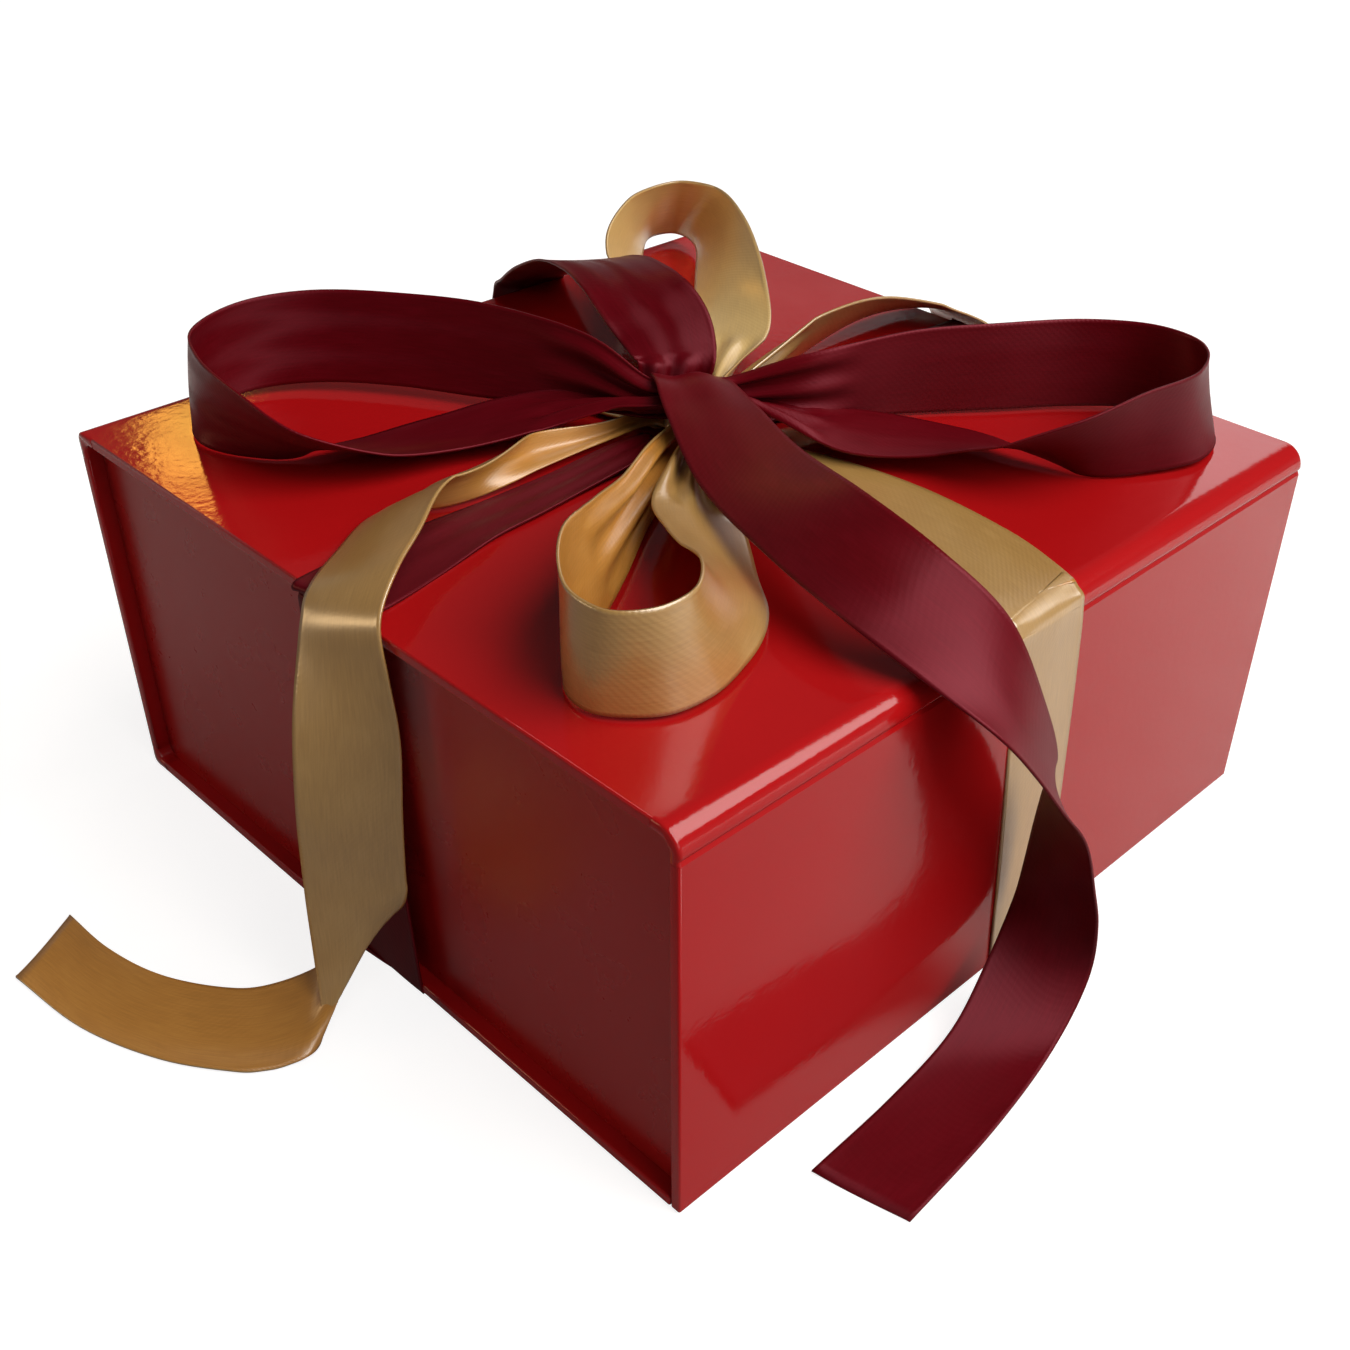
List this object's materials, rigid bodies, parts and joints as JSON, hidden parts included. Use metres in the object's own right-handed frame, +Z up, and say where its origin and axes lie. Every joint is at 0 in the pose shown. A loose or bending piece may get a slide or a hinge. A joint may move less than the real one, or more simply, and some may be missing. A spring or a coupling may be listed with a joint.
{
  "type": "gift box",
  "caption": "Book-style rigid gift box with a magnetic front flap and a tray inside, tied with a gold and a burgundy satin ribbon in a looped bow with trailing tails.",
  "frame": {"origin": "on the table under the middle of the box, on the underside of the burgundy ribbon that runs beneath it", "axes": "+Z up, -Y out of the front flap, +X to the right when facing the flap"},
  "size_m": [0.3282, 0.2899, 0.1472],
  "materials": {
    "red_paper": "glossy laminated red wrap paper",
    "liner_paper": "matt red liner paper",
    "grey_board": "grey rigid board",
    "gold_satin": "gold satin ribbon",
    "burgundy_satin": "burgundy satin ribbon",
    "magnet_steel": "nickel-plated magnet"
  },
  "bodies": {
    "box": {"base_board": "grey_board", "base_wrap": "red_paper", "spine_board": "grey_board", "spine_wrap": "red_paper", "base_fold_paper": "red_paper", "spine_fold_paper": "red_paper", "tray_floor": "grey_board", "tray_front_wall": "grey_board", "tray_back_wall": "grey_board", "tray_left_wall": "grey_board", "tray_right_wall": "grey_board", "tray_corner_stays": "grey_board", "tray_wrap": "red_paper", "tray_liner": "liner_paper", "tray_magnets": "magnet_steel", "gold_band_bottom": "gold_satin", "gold_band_base_fold": "gold_satin", "gold_band_spine": "gold_satin", "gold_band_spine_fold": "gold_satin", "burgundy_band_bottom": "burgundy_satin", "burgundy_band_left_side": "burgundy_satin", "burgundy_band_right_side": "burgundy_satin", "burgundy_back_fall": "burgundy_satin"},
    "lid": {"lid_board": "grey_board", "lid_wrap": "red_paper", "lid_liner": "liner_paper", "flap_fold_paper": "red_paper", "gold_band_front_fold": "gold_satin", "gold_band_front_top": "gold_satin", "gold_band_back_top": "gold_satin", "burgundy_band_left_top": "burgundy_satin", "burgundy_band_right_top": "burgundy_satin", "gold_knot": "gold_satin", "burgundy_knot": "burgundy_satin", "burgundy_left_loop": "burgundy_satin", "burgundy_right_loop": "burgundy_satin", "gold_front_loop": "gold_satin", "gold_back_loop": "gold_satin", "burgundy_front_tail": "burgundy_satin", "burgundy_back_tail": "burgundy_satin", "gold_left_tail": "gold_satin", "gold_right_tail": "gold_satin"},
    "flap": {"flap_board": "grey_board", "flap_wrap": "red_paper", "flap_liner": "liner_paper", "flap_magnets": "magnet_steel", "gold_band_flap": "gold_satin", "burgundy_front_fall": "burgundy_satin"},
    "left_tail": {"gold_left_fall": "gold_satin"},
    "right_tail": {"gold_right_fall": "gold_satin"}
  },
  "joints": [
    {"name": "lid_hinge", "type": "hinge", "parent": "box", "child": "lid", "pos_m": [0, 0.114, 0.109], "axis": [-1, 0, 0], "range_deg": [0, 105], "deforming": ["spine_fold_paper", "gold_band_spine_fold", "burgundy_back_fall"]},
    {"name": "flap_hinge", "type": "hinge", "parent": "lid", "child": "flap", "pos_m": [0, -0.114, 0.109], "axis": [-1, 0, 0], "range_deg": [0, 90], "deforming": ["flap_fold_paper", "gold_band_front_fold", "burgundy_front_fall"]},
    {"name": "left_tail_hang", "type": "hinge", "parent": "lid", "child": "left_tail", "pos_m": [-0.1234, -0.012, 0.1156], "axis": [-1, 0, 0], "range_deg": [-105, 0]},
    {"name": "right_tail_hang", "type": "hinge", "parent": "lid", "child": "right_tail", "pos_m": [0.123, 0.0035, 0.1145], "axis": [-1, 0, 0], "range_deg": [-105, 0]}
  ],
  "couplings": [
    {"joint": "left_tail_hang", "follows": "lid_hinge", "ratio": -1},
    {"joint": "right_tail_hang", "follows": "lid_hinge", "ratio": -1}
  ]
}
